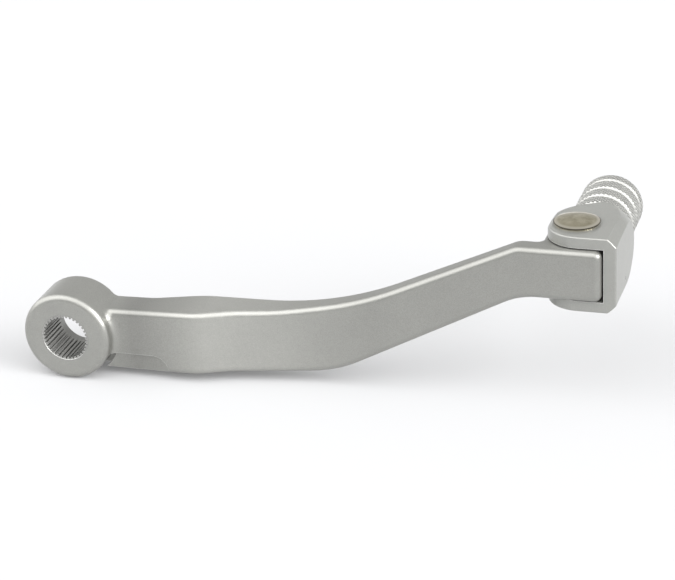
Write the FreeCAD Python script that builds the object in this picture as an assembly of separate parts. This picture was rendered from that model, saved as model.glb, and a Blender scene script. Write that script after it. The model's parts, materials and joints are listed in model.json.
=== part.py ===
import FreeCAD, Part
import math
import os
from FreeCAD import Vector

# Gear shift lever of a motorcycle with a spring-loaded folding toe peg.
# Millimetres. The origin is the centre of the splined bore, +X runs to the toe end,
# +Y runs outward along the bore to the rider's foot, and +Z is up along the pivot pin.

# Splined hub
HUB_R = 12.85
HUB_LENGTH = 14.7
HUB_RIM_R = 2.0
SPLINE_TEETH = 36
SPLINE_CREST_R = 6.15
SPLINE_ROOT_R = 6.7
SPLINE_CREST_SHARE = 0.42
SPLINE_ROOT_SHARE = 0.18
BORE_LAND_LENGTH = 3.4
BORE_LAND_EASE = 0.1
BORE_MOUTH_CHAMFER = 0.12

# Side outline of the arm, seen along Y
ARM_ROOT_TOP = 7.3
ARM_TOP_RISE = 2.0
ARM_ROOT_BOTTOM = -10.6
ARM_BELLY_X = 33.0
ARM_BELLY_RISE = 1.2
BELLY_R = 20.0
TOP_BEND_X = 75.0
TOP_BEND_R = 100.0
BOTTOM_BEND_X = 74.4
BOTTOM_BEND_R = 36.0
TOP_KNEE_BACK = 14.0
TOP_KNEE_R = 6.0
BOTTOM_KNEE_BACK = 13.4
BOTTOM_KNEE_R = 19.0

# Plan outline of the arm, seen along Z
ARM_INNER_SETBACK = 4.4
INNER_JOG_X = 36.5
INNER_JOG_END_X = 46.5
INNER_JOG = 3.35
INNER_JOG_R = 14.0
INNER_JOG_END_R = 30.0
INNER_TAPER_END_X = 68.0
INNER_TAPER_END_R = 60.0
OUTER_JOG_X = 22.0
OUTER_JOG_END_X = 36.0
OUTER_JOG = 3.8
OUTER_JOG_R = 14.0
OUTER_JOG_END_R = 24.0

# Edges of the arm
ARM_EDGE_R = 1.9
ARM_OUTER_EDGE_R = 1.1
HUB_JOINT_R = 2.35

# Relief cut under the arm where it meets the hub
RELIEF_TOP = -5.4
RELIEF_END_X = 28.5
RELIEF_END_R = 4.5
RELIEF_DEPTH = 1.3
RELIEF_GROOVE_WIDTH = 1.3
RELIEF_GROOVE_DEPTH = 3.2

# Tongue at the end of the arm, and the pivot through it
PIVOT_REACH = 140.9
PIVOT_RISE = 25.8
TONGUE_OFFSET = 11.2
TONGUE_HEIGHT = 14.5
TONGUE_THICKNESS = 5.7
TONGUE_END = 8.55
TONGUE_NECK_R = 1.8
TONGUE_CORNER_R = 2.0
PIVOT_SETBACK = 11.7
BOSS_R = 8.1
BOSS_STEP = 1.0

# Pivot pin
PIN_R = 3.0
PIN_RUNNING_CLEARANCE = 0.05
PIN_HEAD_R = 6.3
PIN_HEAD_RIM = 0.6
PIN_HEAD_UNDERCUT = 0.35
PIN_HEAD_DOME = 1.2
PIN_TAIL_R = 5.0
PIN_TAIL_RIM = 0.3
PIN_TAIL_DOME = 0.9

# Folding tip
TIP_FACE_SETBACK = 1.8
EAR_GAP = 0.3
EAR_THICKNESS = 3.1
EAR_NOSE_R = 9.2
EAR_NOSE_REACH = 7.55
EAR_BACK_REACH = 9.0
EAR_BACK_SLOPE = 0.6
EAR_BACK_R = 13.0
TIP_EDGE_R = 0.5
THROAT_R = 8.95
WEB_THICKNESS = 3.4
FOLD_ANGLE = 65.0
FOLD_SPARE_ANGLE = 7.0
FOLD_CLEARANCE = 1.9
SHOULDER_R = 13.5
SHOULDER_FRONT_R = 13.35
SHOULDER_CENTRE = 5.5
SHOULDER_ARC_R = 21.0
PEG_SIDE_OFFSET = 1.9
PEG_R = 8.5
PEG_FIRST_BAND = 19.6
PEG_BAND_PITCH = 5.75
PEG_BANDS = 4
PEG_LAST_BAND = 5.2
PEG_GROOVE_WIDTH = 1.05
PEG_GROOVE_DEPTH = 0.8
PEG_BAND_CHAMFER = 0.35
PEG_END_R = 2.2

# Return spring round the pivot pin
WIRE_R = 0.55
COIL_R = 4.0
COIL_TURNS = 2
COIL_PITCH = 1.15
COIL_CLEARANCE = 0.6
SPRING_SEAT_GAP = 0.5
ARM_LEG_LENGTH = 6.3
LEG_CLEARANCE = 0.35
LEG_HOLE_CLEARANCE = 0.15
LEG_END_INSET = 0.1
WINDOW_SPARE_ANGLE = 12.0

# Cutting tools reach this far past what they cut
OVERCUT = 5.0
# A round face whose edge would lie on another round face is carried on by this much
OVERLAP = 0.5
# Two places this close are the same place
SAME = 1e-4
# A face looks along an axis when this much of its normal lies along it
FACING = 0.5
# Two faces meet in a sharp edge when their normals differ by more than this angle
SHARP_ANGLE = 0.2

# Places worked out from the sizes above
HUB_INNER_Y = -HUB_LENGTH / 2
HUB_OUTER_Y = HUB_LENGTH / 2
ARM_INNER_Y = HUB_INNER_Y + ARM_INNER_SETBACK
TONGUE_INNER_Y = HUB_INNER_Y + TONGUE_OFFSET
TONGUE_OUTER_Y = TONGUE_INNER_Y + TONGUE_THICKNESS
TONGUE_TOP_Z = PIVOT_RISE + TONGUE_HEIGHT / 2
TONGUE_BOTTOM_Z = PIVOT_RISE - TONGUE_HEIGHT / 2
TONGUE_END_X = PIVOT_REACH + TONGUE_END
PIVOT_Y = TONGUE_INNER_Y + PIVOT_SETBACK
TIP_INNER_Y = TONGUE_INNER_Y + TIP_FACE_SETBACK
SLOT_HALF = TONGUE_HEIGHT / 2 + EAR_GAP
TIP_HALF = SLOT_HALF + EAR_THICKNESS
WEB_OUTER_X = PIVOT_REACH + THROAT_R + WEB_THICKNESS
PEG_X = PIVOT_REACH + PEG_SIDE_OFFSET
SHOULDER_Y = PIVOT_Y + SHOULDER_CENTRE
PEG_NECK_R = PEG_R - PEG_GROOVE_DEPTH
SPRING_POCKET_R = COIL_R + WIRE_R + COIL_CLEARANCE
TIP_LEG_Z = TONGUE_BOTTOM_Z + SPRING_SEAT_GAP + WIRE_R
ARM_LEG_Z = TIP_LEG_Z + COIL_TURNS * COIL_PITCH
SPRING_POCKET_TOP_Z = ARM_LEG_Z + WIRE_R + LEG_CLEARANCE
LEG_Y = PIVOT_Y + COIL_R
PIVOT = Vector(PIVOT_REACH, PIVOT_Y, PIVOT_RISE)
UP = Vector(0, 0, 1)
OUTWARD = Vector(0, 1, 0)
FORWARD = Vector(1, 0, 0)


def side_point(x, z):
    """A point of an outline seen along Y."""
    return Vector(x, 0, z)


def plan_point(x, y):
    """A point of an outline seen along Z."""
    return Vector(x, y, 0)


def corner_arc(before, corner, after, radius):
    """Start, middle and end of the arc that rounds a corner between two straight runs."""
    to_before = (before - corner).normalize()
    to_after = (after - corner).normalize()
    half_angle = to_before.getAngle(to_after) / 2
    run = radius / math.tan(half_angle)
    bisector = (to_before + to_after).normalize()
    middle = corner + bisector * (radius / math.sin(half_angle) - radius)
    return corner + to_before * run, middle, corner + to_after * run


def rounded_face(corners, place):
    """Flat face through (u, v, radius) corners: straight runs joined by tangent arcs."""
    points = [place(u, v) for u, v, radius in corners]
    stops = []
    for index, corner in enumerate(corners):
        here = points[index]
        if corner[2] > 0:
            after = points[(index + 1) % len(points)]
            stops.append(corner_arc(points[index - 1], here, after, corner[2]))
        else:
            stops.append((here, here, here))
    edges = []
    for index, (start, middle, end) in enumerate(stops):
        previous_end = stops[index - 1][2]
        if previous_end.distanceToPoint(start) > SAME:
            edges.append(Part.makeLine(previous_end, start))
        if corners[index][2] > 0:
            edges.append(Part.Arc(start, middle, end).toShape())
    return Part.Face(Part.Wire(edges))


def side_prism(corners, low_y, high_y):
    """Outline seen along Y, extruded between two values of Y."""
    face = rounded_face(corners, side_point)
    face.translate(OUTWARD * low_y)
    return face.extrude(OUTWARD * (high_y - low_y))


def plan_prism(corners, low_z, high_z):
    """Outline seen along Z, extruded between two values of Z."""
    face = rounded_face(corners, plan_point)
    face.translate(UP * low_z)
    return face.extrude(UP * (high_z - low_z))


def middle_of(edge):
    """The point halfway along an edge."""
    return edge.valueAt((edge.FirstParameter + edge.LastParameter) / 2)


def normals_at(solid, edge):
    """Normals of the faces that meet along an edge, at its middle."""
    middle = middle_of(edge)
    normals = []
    for face in solid.ancestorsOfType(edge, Part.Face):
        u, v = face.Surface.parameter(middle)
        normals.append(face.normalAt(u, v))
    return normals


def upright_cylinder(radius, low_z, high_z):
    """Cylinder about the pivot axis."""
    return Part.makeCylinder(radius, high_z - low_z, Vector(PIVOT_REACH, PIVOT_Y, low_z), UP)


def box_between(low, high):
    """Box from its lowest to its highest corner."""
    return Part.makeBox(high.x - low.x, high.y - low.y, high.z - low.z, low)


def arm_side_outline():
    """Outline of the arm seen along Y: level root, rise and level tongue."""
    return [
        (-OVERCUT, ARM_ROOT_TOP, 0),
        (-OVERCUT, ARM_ROOT_BOTTOM, 0),
        (ARM_BELLY_X, ARM_ROOT_BOTTOM, BELLY_R),
        (BOTTOM_BEND_X, ARM_ROOT_BOTTOM + ARM_BELLY_RISE, BOTTOM_BEND_R),
        (PIVOT_REACH - BOTTOM_KNEE_BACK, TONGUE_BOTTOM_Z, BOTTOM_KNEE_R),
        (TONGUE_END_X, TONGUE_BOTTOM_Z, TONGUE_CORNER_R),
        (TONGUE_END_X, TONGUE_TOP_Z, TONGUE_CORNER_R),
        (PIVOT_REACH - TOP_KNEE_BACK, TONGUE_TOP_Z, TOP_KNEE_R),
        (TOP_BEND_X, ARM_ROOT_TOP + ARM_TOP_RISE, TOP_BEND_R),
    ]


def arm_plan_outline():
    """Outline of the arm seen along Z: a jog outward, then the tongue with its boss."""
    boss_x = PIVOT_REACH + BOSS_R
    boss_y = PIVOT_Y + BOSS_R
    end_x = TONGUE_END_X + OVERCUT
    step_y = PIVOT_Y - BOSS_STEP
    return [
        (0, HUB_OUTER_Y, 0),
        (0, ARM_INNER_Y, 0),
        (INNER_JOG_X, ARM_INNER_Y, INNER_JOG_R),
        (INNER_JOG_END_X, ARM_INNER_Y + INNER_JOG, INNER_JOG_END_R),
        (INNER_TAPER_END_X, TONGUE_INNER_Y, INNER_TAPER_END_R),
        (end_x, TONGUE_INNER_Y, 0),
        (end_x, step_y, 0),
        (boss_x, step_y, 0),
        (boss_x, boss_y, BOSS_R),
        (PIVOT_REACH - BOSS_R, boss_y, BOSS_R),
        (PIVOT_REACH - BOSS_R, TONGUE_OUTER_Y, TONGUE_NECK_R),
        (OUTER_JOG_END_X, HUB_OUTER_Y + OUTER_JOG, OUTER_JOG_END_R),
        (OUTER_JOG_X, HUB_OUTER_Y, OUTER_JOG_R),
    ]


def arm_blank():
    """Plain arm, before its edges are rounded: where the side and plan outlines meet."""
    side = side_prism(arm_side_outline(), ARM_INNER_Y - OVERCUT, PIVOT_Y + BOSS_R + OVERCUT)
    plan = plan_prism(arm_plan_outline(), ARM_ROOT_BOTTOM - OVERCUT, TONGUE_TOP_Z + OVERCUT)
    return side.common(plan)


def is_inner_edge(solid, edge):
    """True on the long edges of the inner face and on the tongue's end corner."""
    middle = middle_of(edge)
    inward = [normal for normal in normals_at(solid, edge) if normal.y < -FACING]
    return middle.x > SAME and len(inward) == 1


def round_inner_edges(arm):
    """Rounds the edges all round the inner face of the arm."""
    edges = [edge for edge in arm.Edges if is_inner_edge(arm, edge)]
    return arm.makeFillet(ARM_EDGE_R, edges)


def join_hub(arm):
    """Adds the hub's cylinder and blends it into the arm."""
    hub = Part.makeCylinder(HUB_R, HUB_LENGTH, Vector(0, HUB_INNER_Y, 0), OUTWARD)
    body = arm.fuse(hub).removeSplitter()
    edges = []
    for edge in body.Edges:
        middle = middle_of(edge)
        on_hub = abs(math.hypot(middle.x, middle.z) - HUB_R) < SAME
        between_faces = HUB_INNER_Y + SAME < middle.y < HUB_OUTER_Y - SAME
        if on_hub and between_faces and middle.x > SAME:
            edges.append(edge)
    return body.makeFillet(HUB_JOINT_R, edges)


def round_outer_edges(body):
    """Rounds the edge that runs round the hub's outer face and along the arm's outer side."""
    edges = []
    for edge in body.Edges:
        outward = [normal for normal in normals_at(body, edge) if normal.y > FACING]
        if abs(middle_of(edge).y - HUB_OUTER_Y) < SAME and len(outward) == 1:
            edges.append(edge)
    return body.makeFillet(ARM_OUTER_EDGE_R, edges)


def round_inner_rim(body):
    """Rounds the rim of the hub's inner face."""
    edges = [edge for edge in body.Edges if abs(middle_of(edge).y - HUB_INNER_Y) < SAME]
    return body.makeFillet(HUB_RIM_R, edges)


def polar_point(radius, angle, y):
    """A point round the bore's axis."""
    return Vector(radius * math.cos(angle), y, radius * math.sin(angle))


def spline_cutter():
    """Toothed bore: flat crests on the inner radius, narrower roots on the outer one."""
    pitch = 2 * math.pi / SPLINE_TEETH
    crest = pitch * SPLINE_CREST_SHARE
    root = pitch * SPLINE_ROOT_SHARE
    flank = (pitch - crest - root) / 2
    low_y = HUB_INNER_Y - OVERCUT
    edges = []
    for tooth in range(SPLINE_TEETH):
        start = tooth * pitch
        crest_end = start + crest
        root_start = crest_end + flank
        root_end = root_start + root
        a = polar_point(SPLINE_CREST_R, start, low_y)
        b = polar_point(SPLINE_CREST_R, start + crest / 2, low_y)
        c = polar_point(SPLINE_CREST_R, crest_end, low_y)
        d = polar_point(SPLINE_ROOT_R, root_start, low_y)
        e = polar_point(SPLINE_ROOT_R, root_start + root / 2, low_y)
        f = polar_point(SPLINE_ROOT_R, root_end, low_y)
        g = polar_point(SPLINE_CREST_R, start + pitch, low_y)
        edges.append(Part.Arc(a, b, c).toShape())
        edges.append(Part.makeLine(c, d))
        edges.append(Part.Arc(d, e, f).toShape())
        edges.append(Part.makeLine(f, g))
    face = Part.Face(Part.Wire(edges))
    return face.extrude(OUTWARD * (HUB_LENGTH + 2 * OVERCUT))


def bore_land_cutter():
    """Smooth land past the splines, at the bore's outer end, with a chamfered mouth."""
    land_r = SPLINE_ROOT_R + BORE_LAND_EASE
    land_y = HUB_OUTER_Y - BORE_LAND_LENGTH
    land = Part.makeCylinder(land_r, BORE_LAND_LENGTH + OVERCUT, Vector(0, land_y, 0), OUTWARD)
    return land.fuse(mouth_chamfer(HUB_OUTER_Y, land_r, OUTWARD))


def mouth_chamfer(face_y, bore_r, out):
    """Cone that breaks the edge of a bore's mouth."""
    wide_r = bore_r + BORE_MOUTH_CHAMFER
    start = Vector(0, face_y, 0) - out * BORE_MOUTH_CHAMFER
    return Part.makeCone(bore_r, wide_r, BORE_MOUTH_CHAMFER, start, out)


def relief_cutter():
    """Shallow relief under the arm's inner face, with a narrow groove beside the hub."""
    low_z = ARM_ROOT_BOTTOM - OVERCUT
    floor_y = ARM_INNER_Y + RELIEF_DEPTH
    relief = side_prism(
        [
            (0, RELIEF_TOP, 0),
            (0, low_z, 0),
            (RELIEF_END_X, low_z, 0),
            (RELIEF_END_X, RELIEF_TOP, RELIEF_END_R),
        ],
        ARM_INNER_Y - OVERCUT,
        floor_y,
    )
    hub_start = Vector(0, ARM_INNER_Y - 2 * OVERCUT, 0)
    relief = relief.cut(Part.makeCylinder(HUB_R, 4 * OVERCUT, hub_start, OUTWARD))
    groove_start = Vector(0, ARM_INNER_Y, 0)
    groove_length = RELIEF_DEPTH + RELIEF_GROOVE_DEPTH
    groove_r = HUB_R + RELIEF_GROOVE_WIDTH
    groove = Part.makeCylinder(groove_r, groove_length, groove_start, OUTWARD)
    groove = groove.cut(Part.makeCylinder(HUB_R, groove_length, groove_start, OUTWARD))
    below = Vector(0, ARM_INNER_Y, low_z)
    beside = Vector(groove_r, ARM_INNER_Y + groove_length, RELIEF_TOP)
    return relief.fuse(groove.common(box_between(below, beside)))


def leg_sector(radius, low_z, high_z):
    """Sector that the spring's outer leg sweeps through as the tip folds."""
    start = Vector(PIVOT_REACH, PIVOT_Y, low_z)
    first = math.degrees(math.asin(COIL_R / BOSS_R)) - WINDOW_SPARE_ANGLE
    sweep = FOLD_ANGLE + 2 * WINDOW_SPARE_ANGLE
    sector = Part.makeCylinder(radius, high_z - low_z, start, UP, sweep)
    sector.rotate(start, UP, first)
    return sector


def spring_room():
    """Pocket for the coil, groove for the arm's leg and window for the tip's leg."""
    low_z = TONGUE_BOTTOM_Z - OVERCUT
    pocket = upright_cylinder(SPRING_POCKET_R, low_z, SPRING_POCKET_TOP_Z)
    half_width = WIRE_R + LEG_CLEARANCE
    groove_low = Vector(PIVOT_REACH - ARM_LEG_LENGTH - LEG_CLEARANCE, LEG_Y - half_width, low_z)
    groove_high = Vector(PIVOT_REACH, LEG_Y + half_width, SPRING_POCKET_TOP_Z)
    groove = box_between(groove_low, groove_high)
    window = leg_sector(BOSS_R + OVERCUT, low_z, TIP_LEG_Z + half_width)
    return pocket.fuse(groove).fuse(window)


def lever_arm():
    """Arm with its splined hub, relief, pivot hole and room for the spring."""
    body = round_inner_edges(arm_blank())
    body = join_hub(body)
    body = round_outer_edges(body)
    body = round_inner_rim(body)
    body = body.cut(relief_cutter())
    body = body.cut(spline_cutter())
    body = body.cut(bore_land_cutter())
    body = body.cut(mouth_chamfer(HUB_INNER_Y, SPLINE_ROOT_R, -OUTWARD))
    hole_r = PIN_R + PIN_RUNNING_CLEARANCE
    body = body.cut(upright_cylinder(hole_r, TONGUE_BOTTOM_Z - OVERCUT, TONGUE_TOP_Z + OVERCUT))
    return body.cut(spring_room())


def turned(profile):
    """Solid of revolution about the peg's axis from (radius, y) edges given as point lists."""
    edges = []
    for points in profile:
        places = [Vector(PEG_X + radius, y, PIVOT_RISE) for radius, y in points]
        if len(places) == 2:
            edges.append(Part.makeLine(*places))
        else:
            edges.append(Part.Arc(*places).toShape())
    face = Part.Face(Part.Wire(edges))
    return face.revolve(Vector(PEG_X, 0, PIVOT_RISE), OUTWARD, 360)


def shoulder_body():
    """Turned body of the tip: nearly straight at the front, then an arc down to the peg."""
    end_r = PEG_NECK_R - OVERLAP
    centre_r = SHOULDER_R - SHOULDER_ARC_R
    sweep = math.acos((end_r - centre_r) / SHOULDER_ARC_R)
    front = (SHOULDER_FRONT_R, TIP_INNER_Y)
    widest, middle, end = [
        (centre_r + SHOULDER_ARC_R * math.cos(angle), SHOULDER_Y + SHOULDER_ARC_R * math.sin(angle))
        for angle in (0, sweep / 2, sweep)
    ]
    return turned([
        [(0, TIP_INNER_Y), front],
        [front, widest],
        [widest, middle, end],
        [end, (0, end[1])],
        [(0, end[1]), (0, TIP_INNER_Y)],
    ])


def peg_body():
    """Toe peg: bands with grooves between them and a rounded end."""
    chamfer_r = PEG_R - PEG_BAND_CHAMFER
    band_length = PEG_BAND_PITCH - PEG_GROOVE_WIDTH
    points = [(0, SHOULDER_Y), (PEG_NECK_R, SHOULDER_Y)]
    for band in range(PEG_BANDS):
        start = PIVOT_Y + PEG_FIRST_BAND + band * PEG_BAND_PITCH
        points += [(PEG_NECK_R, start), (chamfer_r, start), (PEG_R, start + PEG_BAND_CHAMFER)]
        if band < PEG_BANDS - 1:
            end = start + band_length
            points += [(PEG_R, end - PEG_BAND_CHAMFER), (chamfer_r, end), (PEG_NECK_R, end)]
    end = start + PEG_LAST_BAND
    slant = PEG_END_R * (1 - math.sin(math.pi / 4))
    round_start = (PEG_R, end - PEG_END_R)
    round_end = (PEG_R - PEG_END_R, end)
    points.append(round_start)
    profile = [[a, b] for a, b in zip(points, points[1:])]
    profile.append([round_start, (PEG_R - slant, end - slant), round_end])
    profile.append([round_end, (0, end)])
    profile.append([(0, end), points[0]])
    return turned(profile)


def tip_plan_outline():
    """Outline of the tip's block seen along Z, with its round nose behind the pivot."""
    nose_x = PIVOT_REACH - EAR_NOSE_REACH
    back_y = PIVOT_Y + EAR_BACK_REACH
    side_back_y = back_y + EAR_BACK_SLOPE * (WEB_OUTER_X - nose_x)
    return [
        (WEB_OUTER_X, TIP_INNER_Y, 0),
        (WEB_OUTER_X, side_back_y, 0),
        (nose_x, back_y, EAR_BACK_R),
        (nose_x, TIP_INNER_Y, EAR_NOSE_R),
    ]


def tip_block():
    """Block that carries the ears: the turned body, milled to the plan outline and height."""
    low_z = PIVOT_RISE - TIP_HALF
    high_z = PIVOT_RISE + TIP_HALF
    block = plan_prism(tip_plan_outline(), low_z, high_z).common(shoulder_body())
    edges = [edge for edge in block.Edges if is_sharp(block, edge)]
    return block.makeFillet(TIP_EDGE_R, edges)


def is_sharp(solid, edge):
    """True where two faces meet at an angle."""
    normals = normals_at(solid, edge)
    return len(normals) == 2 and normals[0].getAngle(normals[1]) > SHARP_ANGLE


def fold_wedge(low_z, high_z):
    """Room behind the pivot that the tongue and arm sweep through as the tip folds."""
    angle = math.radians(FOLD_ANGLE + FOLD_SPARE_ANGLE)
    across = Vector(math.sin(angle), math.cos(angle), 0)
    along = Vector(-math.cos(angle), math.sin(angle), 0)
    reach = SHOULDER_R + SHOULDER_CENTRE + 2 * OVERCUT
    near = across * (TONGUE_OUTER_Y - PIVOT_Y + FOLD_CLEARANCE)
    far = near + along * reach
    low_y = TIP_INNER_Y - OVERCUT
    corners = [
        (PIVOT_REACH + near.x, PIVOT_Y + near.y, 0),
        (PIVOT_REACH + far.x, PIVOT_Y + far.y, 0),
        (PIVOT_REACH - reach, PIVOT_Y + far.y, 0),
        (PIVOT_REACH - reach, low_y, 0),
        (PIVOT_REACH + near.x, low_y, 0),
    ]
    return plan_prism(corners, low_z, high_z)


def tip_slot():
    """Slot between the ears, with a round throat for the boss and room to fold."""
    low_z = PIVOT_RISE - SLOT_HALF
    high_z = PIVOT_RISE + SLOT_HALF
    throat = upright_cylinder(THROAT_R, low_z, high_z)
    mouth_low = Vector(PIVOT_REACH - THROAT_R, TIP_INNER_Y - OVERCUT, low_z)
    mouth_high = Vector(PIVOT_REACH + THROAT_R, PIVOT_Y, high_z)
    mouth = box_between(mouth_low, mouth_high)
    return throat.fuse(mouth).fuse(fold_wedge(low_z, high_z))


def lower_ear_relief():
    """Clears the lower ear where it would sweep under the bend of the arm."""
    low_z = PIVOT_RISE - TIP_HALF - OVERCUT
    wedge = fold_wedge(low_z, PIVOT_RISE)
    return wedge.cut(upright_cylinder(THROAT_R, low_z - OVERCUT, PIVOT_RISE + OVERCUT))


def folding_tip():
    """Tip with its ears, web and banded peg, in one piece."""
    tip = tip_block().fuse(peg_body())
    tip = tip.cut(tip_slot())
    tip = tip.cut(lower_ear_relief())
    reach = TIP_HALF + OVERCUT
    tip = tip.cut(upright_cylinder(PIN_R, PIVOT_RISE - reach, PIVOT_RISE + reach))
    hole_r = WIRE_R + LEG_HOLE_CLEARANCE
    hole_start = Vector(PIVOT_REACH, LEG_Y, TIP_LEG_Z)
    hole_length = WEB_OUTER_X - PIVOT_REACH + OVERCUT
    return tip.cut(Part.makeCylinder(hole_r, hole_length, hole_start, FORWARD))


def pivot_pin():
    """Pin with a low domed head on the upper ear and a formed tail under the lower one."""
    top = PIVOT_RISE + TIP_HALF
    bottom = PIVOT_RISE - TIP_HALF
    rim_top = top + PIN_HEAD_RIM
    rim_bottom = bottom - PIN_TAIL_RIM
    corners = [
        (PIN_TAIL_R, rim_bottom),
        (PIN_TAIL_R, bottom),
        (PIN_R, bottom),
        (PIN_R, top),
        (PIN_HEAD_R - PIN_HEAD_UNDERCUT, top),
        (PIN_HEAD_R, rim_top),
    ]
    points = [Vector(PIVOT_REACH + radius, PIVOT_Y, z) for radius, z in corners]
    crown = Vector(PIVOT_REACH, PIVOT_Y, rim_top + PIN_HEAD_DOME)
    foot = Vector(PIVOT_REACH, PIVOT_Y, rim_bottom - PIN_TAIL_DOME)
    edges = [Part.makeLine(a, b) for a, b in zip(points, points[1:])]
    edges.append(dome_arc(PIN_HEAD_R, rim_top, PIN_HEAD_DOME))
    edges.append(Part.makeLine(crown, foot))
    edges.append(dome_arc(PIN_TAIL_R, rim_bottom, -PIN_TAIL_DOME))
    return Part.Face(Part.Wire(edges)).revolve(PIVOT, UP, 360)


def dome_arc(rim_r, rim_z, height):
    """Half of a low dome's section, from its rim to its crown."""
    size = abs(height)
    ball_r = (rim_r ** 2 + size ** 2) / (2 * size)
    half_r = rim_r / 2
    rise = math.sqrt(ball_r ** 2 - half_r ** 2) - (ball_r - size)
    rim = Vector(PIVOT_REACH + rim_r, PIVOT_Y, rim_z)
    between = Vector(PIVOT_REACH + half_r, PIVOT_Y, rim_z + math.copysign(rise, height))
    crown = Vector(PIVOT_REACH, PIVOT_Y, rim_z + height)
    return Part.Arc(rim, between, crown).toShape()


def return_spring():
    """Torsion spring: two turns, one leg held in the tip's web and one in the arm."""
    coil = Part.makeLongHelix(COIL_PITCH, COIL_TURNS * COIL_PITCH, COIL_R, 0, False)
    coil.rotate(Vector(), UP, 90)
    coil.translate(Vector(PIVOT_REACH, PIVOT_Y, TIP_LEG_Z))
    tip_end = Vector(WEB_OUTER_X - LEG_END_INSET, LEG_Y, TIP_LEG_Z)
    coil_start = Vector(PIVOT_REACH, LEG_Y, TIP_LEG_Z)
    coil_end = Vector(PIVOT_REACH, LEG_Y, ARM_LEG_Z)
    arm_end = Vector(PIVOT_REACH - ARM_LEG_LENGTH, LEG_Y, ARM_LEG_Z)
    tip_leg = Part.makeLine(tip_end, coil_start)
    arm_leg = Part.makeLine(coil_end, arm_end)
    sweep = Part.BRepOffsetAPI.MakePipeShell(Part.Wire([tip_leg] + coil.Edges + [arm_leg]))
    sweep.setBiNormalMode(UP)
    sweep.add(Part.Wire(Part.makeCircle(WIRE_R, tip_end, -FORWARD)))
    sweep.build()
    sweep.makeSolid()
    return sweep.shape()


NODES = {
    "lever_arm": lever_arm,
    "folding_tip": folding_tip,
    "pivot_pin": pivot_pin,
    "return_spring": return_spring,
}


def main():
    os.makedirs("parts", exist_ok=True)
    for name, make in NODES.items():
        make().exportStep("parts/" + name + ".step")


main()
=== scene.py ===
import json
import math

import bpy
import numpy as np
from mathutils import Matrix, Vector


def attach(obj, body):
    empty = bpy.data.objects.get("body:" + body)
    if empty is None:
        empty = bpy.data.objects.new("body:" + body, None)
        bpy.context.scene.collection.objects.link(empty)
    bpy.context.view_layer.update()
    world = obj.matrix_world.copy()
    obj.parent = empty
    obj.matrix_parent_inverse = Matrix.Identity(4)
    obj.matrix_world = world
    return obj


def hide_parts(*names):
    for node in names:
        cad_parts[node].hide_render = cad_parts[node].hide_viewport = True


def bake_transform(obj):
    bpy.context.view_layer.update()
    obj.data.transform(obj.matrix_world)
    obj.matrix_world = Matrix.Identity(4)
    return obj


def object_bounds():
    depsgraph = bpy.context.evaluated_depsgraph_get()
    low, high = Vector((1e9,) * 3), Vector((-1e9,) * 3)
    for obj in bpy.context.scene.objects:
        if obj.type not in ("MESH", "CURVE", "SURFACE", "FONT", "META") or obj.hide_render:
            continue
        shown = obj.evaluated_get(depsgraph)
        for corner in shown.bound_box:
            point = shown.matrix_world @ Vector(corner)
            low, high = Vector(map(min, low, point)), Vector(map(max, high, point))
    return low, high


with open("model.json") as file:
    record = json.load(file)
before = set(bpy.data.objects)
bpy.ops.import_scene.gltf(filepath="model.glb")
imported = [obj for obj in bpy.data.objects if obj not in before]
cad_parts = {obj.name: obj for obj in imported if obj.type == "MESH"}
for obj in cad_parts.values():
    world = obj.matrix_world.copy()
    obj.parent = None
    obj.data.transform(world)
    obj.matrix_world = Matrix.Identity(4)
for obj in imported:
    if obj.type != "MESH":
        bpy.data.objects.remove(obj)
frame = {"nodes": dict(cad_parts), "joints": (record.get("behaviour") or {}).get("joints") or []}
cad_low, cad_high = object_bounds()

MM = 0.001
FULL_TURN = 2 * math.pi

# Places of the part that the added pieces and the finishes follow, in millimetres
PIVOT_X, PIVOT_Y, PIVOT_Z = (metres / MM for metres in frame["joints"][0]["pos_m"])
PEG_X = 142.8
PEG_Z = PIVOT_Z
PEG_R = 8.5
PEG_NECK_R = 7.7
PEG_FIRST_BAND = 35.15
PEG_BAND_PITCH = 5.75
PEG_BAND_LENGTH = 4.7
PEG_BANDS = 4
PEG_CHAMFER = 0.35
PEG_END = cad_high[1] / MM
PEG_END_R = 2.2
WIRE_R = 0.55
COIL_R = 4.0
COIL_TURNS = 2
ARM_LEG_Z = 21.9
TIP_LEG_Z = 19.6
ARM_LEG_LENGTH = 6.3
TIP_LEG_SINK = 0.1
TIP_LEG_END_X = cad_high[0] / MM - TIP_LEG_SINK
BORE_R = 7.15
PIN_HEAD_R = 6.3

# Added detail: lengths in millimetres, plain factors and counts
SKIN = 0.03
KNURL_PITCH = 1.25
KNURL_DEPTH = 0.3
KNURL_STEP = 0.125
KNURL_GAIN = 1.6
RING_SLOPE = 1.5
WIRE_SIDES = 20
COIL_STEPS = 160
LEG_STEPS = 12

# Sockets of a Mix node that is set to colours
MIX_FACTOR, MIX_FIRST, MIX_SECOND = 0, 6, 7
MIX_RESULT = 2


def add_node(tree, kind, **settings):
    """A shader node with the given properties."""
    node = tree.nodes.new(kind)
    for name, value in settings.items():
        setattr(node, name, value)
    return node


def wire(tree, source, target):
    """Joins an output socket to an input socket."""
    tree.links.new(source, target)


def noise(tree, coords, settings):
    """Noise texture's value; the settings are cells per metre, detail and roughness."""
    node = add_node(tree, "ShaderNodeTexNoise")
    for name, value in zip(("Scale", "Detail", "Roughness"), settings):
        node.inputs[name].default_value = value
    wire(tree, coords, node.inputs["Vector"])
    return node.outputs["Fac"]


def remap(tree, value, source, target):
    """Value mapped from one range to another and kept inside it."""
    node = add_node(tree, "ShaderNodeMapRange")
    for name, number in zip(("From Min", "From Max", "To Min", "To Max"), (*source, *target)):
        node.inputs[name].default_value = number
    wire(tree, value, node.inputs["Value"])
    return node.outputs["Result"]


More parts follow.
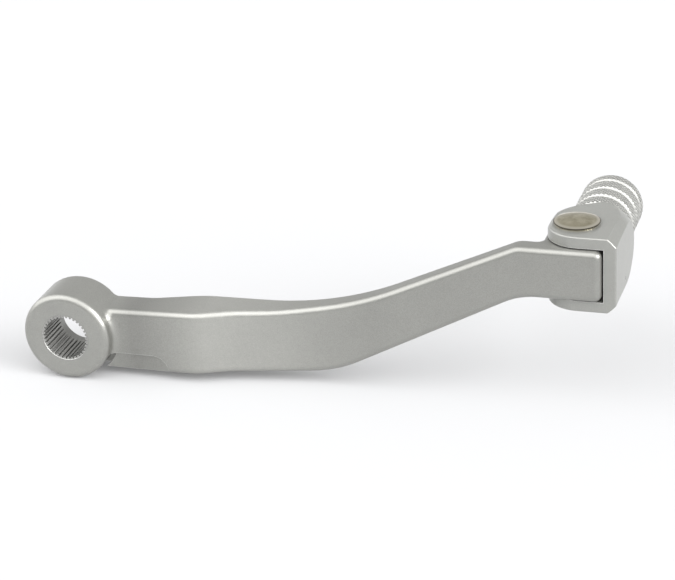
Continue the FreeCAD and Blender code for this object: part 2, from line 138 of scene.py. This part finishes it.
def math_node(tree, operation, *values):
    """Result of a math operation on sockets and numbers."""
    node = add_node(tree, "ShaderNodeMath", operation=operation)
    for index, value in enumerate(values):
        if isinstance(value, (int, float)):
            node.inputs[index].default_value = value
        else:
            wire(tree, value, node.inputs[index])
    return node.outputs["Value"]


def mix_colour(tree, factor, first, second, blend="MIX"):
    """Mix of two colours, each a socket or a tuple."""
    node = add_node(tree, "ShaderNodeMix", data_type="RGBA", blend_type=blend)
    for index, value in ((MIX_FACTOR, factor), (MIX_FIRST, first), (MIX_SECOND, second)):
        if isinstance(value, (int, float, tuple)):
            node.inputs[index].default_value = value
        else:
            wire(tree, value, node.inputs[index])
    return node.outputs[MIX_RESULT]


def grey(tree, level):
    """Grey colour of the given level."""
    node = add_node(tree, "ShaderNodeCombineColor")
    for channel in ("Red", "Green", "Blue"):
        wire(tree, level, node.inputs[channel])
    return node.outputs["Color"]


def split_axes(tree, coords):
    """The three coordinates as sockets of their own, named X, Y and Z."""
    node = add_node(tree, "ShaderNodeSeparateXYZ")
    wire(tree, coords, node.inputs["Vector"])
    return node.outputs


def distance(tree, first, second):
    """Distance from an axis, worked out from the two coordinates across it."""
    squares = [math_node(tree, "POWER", value, 2.0) for value in (first, second)]
    return math_node(tree, "SQRT", math_node(tree, "ADD", *squares))


def in_metres(*lengths):
    """Lengths in millimetres as metres."""
    return tuple(length * MM for length in lengths)


def new_material(name):
    """Empty node material with its output and object coordinates."""
    material = bpy.data.materials.new(name)
    material.use_nodes = True
    tree = material.node_tree
    tree.nodes.clear()
    output = add_node(tree, "ShaderNodeOutputMaterial")
    coords = add_node(tree, "ShaderNodeTexCoord").outputs["Object"]
    return material, tree, output, coords


def principled(tree, output, metallic):
    """Surface shader joined to the output."""
    shader = add_node(tree, "ShaderNodeBsdfPrincipled")
    shader.inputs["Metallic"].default_value = metallic
    wire(tree, shader.outputs["BSDF"], output.inputs["Surface"])
    return shader


def bump(tree, shader, height, strength, depth):
    """Raises the shader's surface by a height map; the depth is in millimetres."""
    node = add_node(tree, "ShaderNodeBump")
    node.inputs["Strength"].default_value = strength
    node.inputs["Distance"].default_value = depth * MM
    wire(tree, height, node.inputs["Height"])
    wire(tree, node.outputs["Normal"], shader.inputs["Normal"])


# Ranges shared by the finishes: the middle of a noise's values, and a whole share
NOISE_CORE = (0.3, 0.7)
WHOLE = (0.0, 1.0)

# Bare metal and painted highlight along sharp edges: its width in millimetres, and the match of rounded
# and true normal
EDGE_BAND_WIDTH = 0.28
EDGE_SAMPLES = 6
EDGE_MATCH = (0.99, 0.86)
EDGE_GRAIN = (0.3, 0.6)
EDGE_SHARE = (0.55, 1.0)
BARE_AND_HIGHLIGHT_COLOUR = (0.86, 0.86, 0.84, 1.0)


def bare_and_highlit_edges(tree, grain):
    """Share of bare metal and painted highlight, which shows along sharp edges."""
    rounded = add_node(tree, "ShaderNodeBevel", samples=EDGE_SAMPLES)
    rounded.inputs["Radius"].default_value = EDGE_BAND_WIDTH * MM
    geometry = add_node(tree, "ShaderNodeNewGeometry")
    match = add_node(tree, "ShaderNodeVectorMath", operation="DOT_PRODUCT")
    wire(tree, rounded.outputs["Normal"], match.inputs[0])
    wire(tree, geometry.outputs["Normal"], match.inputs[1])
    edge = remap(tree, match.outputs["Value"], EDGE_MATCH, WHOLE)
    return math_node(tree, "MULTIPLY", edge, remap(tree, grain, EDGE_GRAIN, EDGE_SHARE))


# Painted light and shade on the arm: stretches along X in millimetres, and the factor from start to end
# of each
ARM_PAINTED_LIGHT = (
    ((12.0, 18.0), (1.06, 0.84)),
    ((20.0, 40.0), (0.0, 0.46)),
    ((46.0, 85.0), (0.0, -0.3)),
)


def arm_painted_light(tree, along):
    """Painted light on the arm: a little lighter on the hub, painted shade beside the hub and a painted
    highlight at the jog.
    """
    painted_light = 0.0
    for stretch, change in ARM_PAINTED_LIGHT:
        painted_light = math_node(tree, "ADD", painted_light, remap(tree, along, in_metres(*stretch), change))
    return painted_light


# Bead-blasted castings: noise as cells per metre, detail and roughness, and what each noise changes
CLOUDS = (90, 3, 0.5)
PATCHES = (620, 4, 0.6)
GRAIN = (4600, 2, 0.6)
GRAIN_CORE = (0.25, 0.75)
SPECKLE = (0.86, 1.12)
MOTTLE = (0.975, 1.02)
CAST_GLOSS = (0.3, 0.35)
PATCH_HEIGHT = 0.6
BLAST_STRENGTH = 0.25
BLAST_DEPTH = 0.03
CAST_METALLIC = 0.75
CAST_LIGHT = (0.33, 0.33, 0.31, 1.0)
CAST_DARK = (0.315, 0.315, 0.296, 1.0)
TIP_METALLIC = 0.55
TIP_LIGHT = (0.347, 0.349, 0.329, 1.0)
TIP_DARK = (0.331, 0.333, 0.314, 1.0)

# The arm's bore and hub: radii round the bore's axis in millimetres, painted shade inside the bore, and
# fainter bare and highlit edges near the hub
BORE_FADE = 0.1
BORE_PAINTED_SHADE = (0.3, 0.3, 0.285, 1.0)
HUB_AREA_R = 42.0
EDGE_FADE_END_R = 60.0
EDGE_FADE_SHARE = (0.5, 1.0)


def blasted_aluminium(name, light, dark, metallic, arm=False):
    """Bead-blasted casting: fine grain, faint clouding, uneven gloss, and bare metal with painted
    highlight along sharp edges; on the arm also painted light and shade along its length, and painted
    shade in the bore.
    """
    material, tree, output, coords = new_material(name)
    shader = principled(tree, output, metallic)
    clouds = noise(tree, coords, CLOUDS)
    patches = noise(tree, coords, PATCHES)
    grain = noise(tree, coords, GRAIN)
    base = mix_colour(tree, remap(tree, clouds, NOISE_CORE, WHOLE), dark, light)
    speckle = remap(tree, grain, GRAIN_CORE, SPECKLE)
    shade = math_node(tree, "MULTIPLY", speckle, remap(tree, patches, NOISE_CORE, MOTTLE))
    place = split_axes(tree, coords)
    if arm:
        # On the arm: painted shade beside the hub and a painted highlight at the jog
        shade = math_node(tree, "MULTIPLY", shade, arm_painted_light(tree, place["X"]))
    colour = mix_colour(tree, 1.0, base, grey(tree, shade), "MULTIPLY")
    edges = bare_and_highlit_edges(tree, patches)
    if arm:
        # Painted shade inside the bore
        radius = distance(tree, place["X"], place["Z"])
        outside = remap(tree, radius, in_metres(BORE_R - BORE_FADE, BORE_R), WHOLE)
        colour = mix_colour(tree, outside, BORE_PAINTED_SHADE, colour)
        # Bare and highlit edges fainter near the hub
        hub_fade = remap(tree, radius, in_metres(HUB_AREA_R, EDGE_FADE_END_R), EDGE_FADE_SHARE)
        edges = math_node(tree, "MULTIPLY", edges, hub_fade)
    # Sharp edges lightened: bare metal and painted highlight
    wire(tree, mix_colour(tree, edges, colour, BARE_AND_HIGHLIGHT_COLOUR), shader.inputs["Base Color"])
    wire(tree, remap(tree, patches, NOISE_CORE, CAST_GLOSS), shader.inputs["Roughness"])
    height = math_node(tree, "ADD", grain, math_node(tree, "MULTIPLY", patches, PATCH_HEIGHT))
    bump(tree, shader, height, BLAST_STRENGTH, BLAST_DEPTH)
    return material


# Knurl: painted highlight on the chamfers of its bands and painted shade in the grooves between them,
# and its colours: painted shade in the valleys and bare worn crests
CHAMFER_HIGHLIGHT = 0.95
GROOVE_SHADE = 0.6
KNURL_METALLIC = 0.6
KNURL_GRAIN = (3800, 3, 0.6)
KNURL_GRAIN_CORE = (0.35, 0.65)
KNURL_GRAIN_WEAR = (0.55, 1.25)
KNURL_VALLEY_SHADE = (0.07, 0.07, 0.065, 1.0)
KNURL_CREST = (0.56, 0.56, 0.535, 1.0)
KNURL_GLOSS = (0.5, 0.34)


def knurled_aluminium(name):
    """Knurl with bright worn crests and valleys darkened as painted shade, with painted highlight on the
    band chamfers and painted shade in the grooves, read from the value on each vertex.
    """
    material, tree, output, coords = new_material(name)
    shader = principled(tree, output, KNURL_METALLIC)
    wear_and_painted_light = add_node(tree, "ShaderNodeAttribute", attribute_name="crest").outputs["Fac"]
    grain = noise(tree, coords, KNURL_GRAIN)
    worn_and_painted_light = math_node(tree, "MULTIPLY", wear_and_painted_light, remap(tree, grain, KNURL_GRAIN_CORE, KNURL_GRAIN_WEAR))
    wire(tree, mix_colour(tree, worn_and_painted_light, KNURL_VALLEY_SHADE, KNURL_CREST), shader.inputs["Base Color"])
    wire(tree, remap(tree, worn_and_painted_light, WHOLE, KNURL_GLOSS), shader.inputs["Roughness"])
    bump(tree, shader, grain, BLAST_STRENGTH, BLAST_DEPTH)
    return material


# Pin: widths in from the head's edge in millimetres of a painted pale reflection ring and a painted
# shadow line at the edge, and turning marks in radians per metre
PIN_HAZE = (420, 4, 0.6)
PIN_DARK = (0.38, 0.345, 0.245, 1.0)
PIN_LIGHT = (0.58, 0.54, 0.415, 1.0)
PIN_GLOSS = (0.08, 0.13)
SHEEN_RING = (1.3, 0.7)
SHEEN_RING_COLOUR = (0.66, 0.62, 0.52, 1.0)
RIM_SHADOW = (0.3, 0.1)
RIM_SHADOW_COLOUR = (0.1, 0.09, 0.07, 1.0)
TURNING_MARKS = 42000.0
TURNING_STRENGTH = 0.04
TURNING_DEPTH = 0.002


def polished_pin(name):
    """Polished, slightly warm metal with faint turning marks round its own axis, a painted pale
    reflection ring near the head's edge and a painted shadow line at the edge.
    """
    material, tree, output, coords = new_material(name)
    shader = principled(tree, output, 1.0)
    place = split_axes(tree, coords)
    radius = distance(tree, math_node(tree, "SUBTRACT", place["X"], PIVOT_X * MM),
                      math_node(tree, "SUBTRACT", place["Y"], PIVOT_Y * MM))
    haze = noise(tree, coords, PIN_HAZE)
    colour = mix_colour(tree, remap(tree, haze, NOISE_CORE, WHOLE), PIN_DARK, PIN_LIGHT)
    # Painted pale reflection ring near the head's edge, then a painted shadow line at the very edge
    for widths, tint in ((SHEEN_RING, SHEEN_RING_COLOUR), (RIM_SHADOW, RIM_SHADOW_COLOUR)):
        reach = in_metres(*(PIN_HEAD_R - width for width in widths))
        colour = mix_colour(tree, remap(tree, radius, reach, WHOLE), colour, tint)
    wire(tree, colour, shader.inputs["Base Color"])
    wire(tree, remap(tree, haze, NOISE_CORE, PIN_GLOSS), shader.inputs["Roughness"])
    rings = math_node(tree, "SINE", math_node(tree, "MULTIPLY", radius, TURNING_MARKS))
    bump(tree, shader, rings, TURNING_STRENGTH, TURNING_DEPTH)
    return material


# Spring wire
WIRE_MARKS = (2600, 3, 0.6)
WIRE_DARK = (0.24, 0.24, 0.25, 1.0)
WIRE_LIGHT = (0.46, 0.46, 0.46, 1.0)
WIRE_GLOSS = (0.28, 0.42)


def drawn_wire(name):
    """Spring wire, mottled by its drawing."""
    material, tree, output, coords = new_material(name)
    shader = principled(tree, output, 1.0)
    marks = noise(tree, coords, WIRE_MARKS)
    wire(tree, mix_colour(tree, marks, WIRE_DARK, WIRE_LIGHT), shader.inputs["Base Color"])
    wire(tree, remap(tree, marks, NOISE_CORE, WIRE_GLOSS), shader.inputs["Roughness"])
    return material


def give(obj, material):
    """Sets an object's only material."""
    obj.data.materials.clear()
    obj.data.materials.append(material)


def add_mesh(name, points, faces):
    """Mesh object in the scene."""
    mesh = bpy.data.meshes.new(name)
    mesh.from_pydata(points, [], faces)
    obj = bpy.data.objects.new(name, mesh)
    bpy.context.scene.collection.objects.link(obj)
    return obj


def tube_mesh(name, rings):
    """Smooth mesh through closed rings of points, one ring after the other."""
    rows, columns = rings.shape[:2]
    index = np.arange(rows * columns).reshape(rows, columns)
    following = np.roll(index, -1, axis=1)
    faces = np.stack([index[:-1], following[:-1], following[1:], index[1:]], axis=-1)
    obj = add_mesh(name, rings.reshape(-1, 3).tolist(), faces.reshape(-1, 4).tolist())
    polygons = obj.data.polygons
    polygons.foreach_set("use_smooth", [True] * len(polygons))
    return obj


def knurl_crest(y, angle, around):
    """Height of the knurl, from 0 to 1, that two sets of slanting grooves leave."""
    turn = angle * around / FULL_TURN
    slant = y / KNURL_PITCH
    rising = np.abs(((turn + slant) % 1.0) * 2 - 1)
    falling = np.abs(((turn - slant) % 1.0) * 2 - 1)
    return np.clip(np.minimum(rising, falling) * KNURL_GAIN, 0, 1)


def band_envelope(y):
    """Greatest radius along the peg: bands with sloping ends, the last of which runs off the peg."""
    margin = KNURL_STEP + 2 * SKIN
    envelope = np.full_like(y, PEG_NECK_R + SKIN)
    for band in range(PEG_BANDS):
        start = PEG_FIRST_BAND + band * PEG_BAND_PITCH
        end = start + PEG_BAND_LENGTH if band < PEG_BANDS - 1 else PEG_END + PEG_BAND_LENGTH
        rise = PEG_R - PEG_CHAMFER + RING_SLOPE * np.minimum(y - start, end - y) + 2 * SKIN
        inside = (y > start - margin) & (y < end + margin)
        envelope = np.where(inside, np.maximum(envelope, rise), envelope)
    return envelope


def peg_skin():
    """Knurled skin over the peg's bands, whose last ring is sunk into the peg."""
    low = PEG_FIRST_BAND - 2 * SKIN
    high = PEG_END - PEG_END_R
    rows = int((high - low) / KNURL_STEP) + 1
    around = int(round(FULL_TURN * PEG_R / KNURL_PITCH))
    columns = around * int(KNURL_PITCH / KNURL_STEP)
    y = np.linspace(low, high, rows)[:, None]
    angle = np.linspace(0, FULL_TURN, columns, endpoint=False)[None, :]
    crest = knurl_crest(y, angle, around)
    knurl = PEG_R + SKIN + KNURL_DEPTH * crest
    envelope = band_envelope(y)
    radius = np.minimum(knurl, envelope)
    radius[-1] = PEG_R - SKIN
    x = PEG_X + radius * np.cos(angle)
    z = PEG_Z + radius * np.sin(angle)
    rings = np.stack([x, np.broadcast_to(y, x.shape), z], axis=-1) * MM
    obj = tube_mesh("peg_knurl", rings)
    # Value per vertex: knurl height for worn crests over valleys in painted shade, painted highlight on
    # the band chamfers, painted shade in the grooves
    ends = np.where(envelope > PEG_NECK_R + 2 * SKIN, CHAMFER_HIGHLIGHT, GROOVE_SHADE)
    wear_and_painted_light = np.where(knurl < envelope, crest, ends)
    attribute = obj.data.attributes.new("crest", "FLOAT", "POINT")
    attribute.data.foreach_set("value", wear_and_painted_light.astype(np.float32).ravel())
    give(obj, knurled_aluminium("knurled_aluminium"))
    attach(obj, "tip")


def spring_path():
    """Points along the spring's wire, from the tip's leg through the coil to the arm's leg."""
    reach = TIP_LEG_END_X - PIVOT_X
    tip_leg = [(PIVOT_X + reach * (1 - step / LEG_STEPS), PIVOT_Y + COIL_R, TIP_LEG_Z)
               for step in range(LEG_STEPS)]
    coil = []
    for step in range(COIL_STEPS + 1):
        share = step / COIL_STEPS
        angle = FULL_TURN / 4 + share * COIL_TURNS * FULL_TURN
        coil.append((PIVOT_X + COIL_R * math.cos(angle), PIVOT_Y + COIL_R * math.sin(angle),
                     TIP_LEG_Z + share * (ARM_LEG_Z - TIP_LEG_Z)))
    arm_leg = [(PIVOT_X - ARM_LEG_LENGTH * step / LEG_STEPS, PIVOT_Y + COIL_R, ARM_LEG_Z)
               for step in range(1, LEG_STEPS + 1)]
    return np.array(tip_leg + coil + arm_leg)


def bent_spring():
    """Spring as one tube: its legs follow the arm and the tip, and the coil twists between them."""
    path = spring_path()
    ahead = np.gradient(path, axis=0)
    ahead /= np.linalg.norm(ahead, axis=1)[:, None]
    side = np.cross(ahead, (0.0, 0.0, 1.0))
    side /= np.linalg.norm(side, axis=1)[:, None]
    top = np.cross(side, ahead)
    angle = np.linspace(0, FULL_TURN, WIRE_SIDES, endpoint=False)[None, :, None]
    around = side[:, None, :] * np.cos(angle) + top[:, None, :] * np.sin(angle)
    rings = path[:, None, :] + around * WIRE_R
    first = np.repeat(path[:1, None, :], WIRE_SIDES, axis=1)
    last = np.repeat(path[-1:, None, :], WIRE_SIDES, axis=1)
    obj = tube_mesh("bent_spring", np.concatenate([first, rings, last]) * MM)
    give(obj, drawn_wire("drawn_wire"))
    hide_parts("return_spring")
    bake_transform(obj)


def dress_nodes():
    """Gives each CAD node that is shown its finish."""
    nodes = frame["nodes"]
    give(nodes["lever_arm"], blasted_aluminium(
        "cast_aluminium", CAST_LIGHT, CAST_DARK, CAST_METALLIC, arm=True))
    give(nodes["folding_tip"], blasted_aluminium("tip_aluminium", TIP_LIGHT, TIP_DARK, TIP_METALLIC))
    give(nodes["pivot_pin"], polished_pin("polished_pin"))


# Floor: its gap under the part in millimetres, and its reach in metres
FLOOR_GAP = 0.1
FLOOR_R = 20.0
FLOOR_SIDES = 96
FLOOR_FADE = (0.3, 0.9)
FLOOR_COLOUR = (0.47, 0.472, 0.479, 1.0)
FLOOR_GLOW = 0.115


def floor_material():
    """Pale ground that keeps the part's shadow and fades to plain white far away."""
    material, tree, output, coords = new_material("floor")
    diffuse = add_node(tree, "ShaderNodeBsdfDiffuse")
    diffuse.inputs["Color"].default_value = FLOOR_COLOUR
    glow = add_node(tree, "ShaderNodeEmission")
    path = add_node(tree, "ShaderNodeLightPath")
    seen = math_node(tree, "MAXIMUM", path.outputs["Is Camera Ray"], path.outputs["Is Glossy Ray"])
    seen = math_node(tree, "MAXIMUM", seen, path.outputs["Is Transmission Ray"])
    wire(tree, math_node(tree, "MULTIPLY", seen, FLOOR_GLOW), glow.inputs["Strength"])
    near = add_node(tree, "ShaderNodeAddShader")
    wire(tree, diffuse.outputs["BSDF"], near.inputs[0])
    wire(tree, glow.outputs["Emission"], near.inputs[1])
    white = add_node(tree, "ShaderNodeEmission")
    wire(tree, seen, white.inputs["Strength"])
    far = add_node(tree, "ShaderNodeVectorMath", operation="LENGTH")
    wire(tree, coords, far.inputs[0])
    mix = add_node(tree, "ShaderNodeMixShader")
    wire(tree, remap(tree, far.outputs["Value"], FLOOR_FADE, WHOLE), mix.inputs["Fac"])
    wire(tree, near.outputs["Shader"], mix.inputs[1])
    wire(tree, white.outputs["Emission"], mix.inputs[2])
    wire(tree, mix.outputs["Shader"], output.inputs["Surface"])
    return material


def pale_floor():
    """Round floor just under the part."""
    z = cad_low[2] - FLOOR_GAP * MM
    turns = [FULL_TURN * side / FLOOR_SIDES for side in range(FLOOR_SIDES)]
    rim = [(FLOOR_R * math.cos(turn), FLOOR_R * math.sin(turn), z) for turn in turns]
    floor = add_mesh("floor", rim, [list(range(FLOOR_SIDES))])
    give(floor, floor_material())


# Surroundings: a dome that is a little brighter behind the part, and a bright arch over the part
DOME_TURN = (-0.1, 0.6)
DOME_LEVELS = (0.6, 0.8)
ARCH_ACROSS = (0.157, 0.823, 0.543)
ARCH_HALF = 0.3
ARCH_FADE = 0.34
ARCH_LEVEL = 2.7
ARCH_FOOT = (0.02, 0.2)


def studio_world():
    """Soft surroundings, like a light tent lit by a strip over the part."""
    world = bpy.data.worlds.new("studio")
    bpy.context.scene.world = world
    world.use_nodes = True
    tree = world.node_tree
    tree.nodes.clear()
    output = add_node(tree, "ShaderNodeOutputWorld")
    background = add_node(tree, "ShaderNodeBackground")
    direction = add_node(tree, "ShaderNodeTexCoord").outputs["Generated"]
    place = split_axes(tree, direction)
    dome = remap(tree, place["Y"], DOME_TURN, DOME_LEVELS)
    lean = add_node(tree, "ShaderNodeVectorMath", operation="DOT_PRODUCT")
    lean.inputs[1].default_value = ARCH_ACROSS
    wire(tree, direction, lean.inputs[0])
    off = math_node(tree, "ABSOLUTE", lean.outputs["Value"])
    arch = remap(tree, off, (ARCH_HALF, ARCH_HALF + ARCH_FADE), (ARCH_LEVEL, 0.0))
    above = remap(tree, place["Z"], ARCH_FOOT, WHOLE)
    level = math_node(tree, "ADD", dome, math_node(tree, "MULTIPLY", arch, above))
    wire(tree, level, background.inputs["Strength"])
    wire(tree, background.outputs["Background"], output.inputs["Surface"])


# Lamps: direction towards each, strength, and spread in degrees
KEY_SUN = ((-0.5, -0.36, 0.78), 0.2, 50.0)
RIGHT_SUN = ((0.85, -0.25, 0.42), 2.0, 34.0)


def soft_sun(name, towards, strength, spread_deg):
    """Wide distant lamp shining from the given direction."""
    lamp = bpy.data.lights.new(name, "SUN")
    lamp.energy = strength
    lamp.angle = math.radians(spread_deg)
    obj = bpy.data.objects.new(name, lamp)
    obj.rotation_mode = "QUATERNION"
    obj.rotation_quaternion = Vector(towards).to_track_quat("Z", "Y")
    bpy.context.scene.collection.objects.link(obj)


# Camera, fitted to the photo: place in millimetres, angles in degrees, clip distances in metres
CAMERA_PLACE = (253.2, -532.75, 272.3)
CAMERA_AZIMUTH = 18.16
CAMERA_ELEVATION = 24.37
CAMERA_ROLL = -2.93
CAMERA_FOCAL_PX = 2283.0
CAMERA_CLIP = (0.01, 100.0)
IMAGE_WIDTH = 675
SENSOR_WIDTH = 36.0


def photo_camera():
    """Camera at the photo's viewing angle."""
    azimuth, elevation, roll = (math.radians(v) for v in (CAMERA_AZIMUTH, CAMERA_ELEVATION, CAMERA_ROLL))
    level = Vector((math.cos(azimuth), math.sin(azimuth), 0.0))
    onward = Vector((-math.sin(azimuth), math.cos(azimuth), 0.0))
    vertical = Vector((0.0, 0.0, 1.0))
    ahead = math.cos(elevation) * onward - math.sin(elevation) * vertical
    upward = math.sin(elevation) * onward + math.cos(elevation) * vertical
    right = math.cos(roll) * level + math.sin(roll) * upward
    up = -math.sin(roll) * level + math.cos(roll) * upward
    data = bpy.data.cameras.new("camera")
    data.sensor_width = SENSOR_WIDTH
    data.lens = CAMERA_FOCAL_PX / IMAGE_WIDTH * SENSOR_WIDTH
    data.clip_start, data.clip_end = CAMERA_CLIP
    camera = bpy.data.objects.new("camera", data)
    turn = Matrix((right, up, -ahead)).transposed().to_4x4()
    camera.matrix_world = Matrix.Translation(Vector(CAMERA_PLACE) * MM) @ turn
    bpy.context.scene.collection.objects.link(camera)
    bpy.context.scene.camera = camera


dress_nodes()
peg_skin()
bent_spring()
pale_floor()
studio_world()
soft_sun("key", *KEY_SUN)
soft_sun("right", *RIGHT_SUN)
photo_camera()
bpy.context.scene.view_settings.view_transform = "Standard"
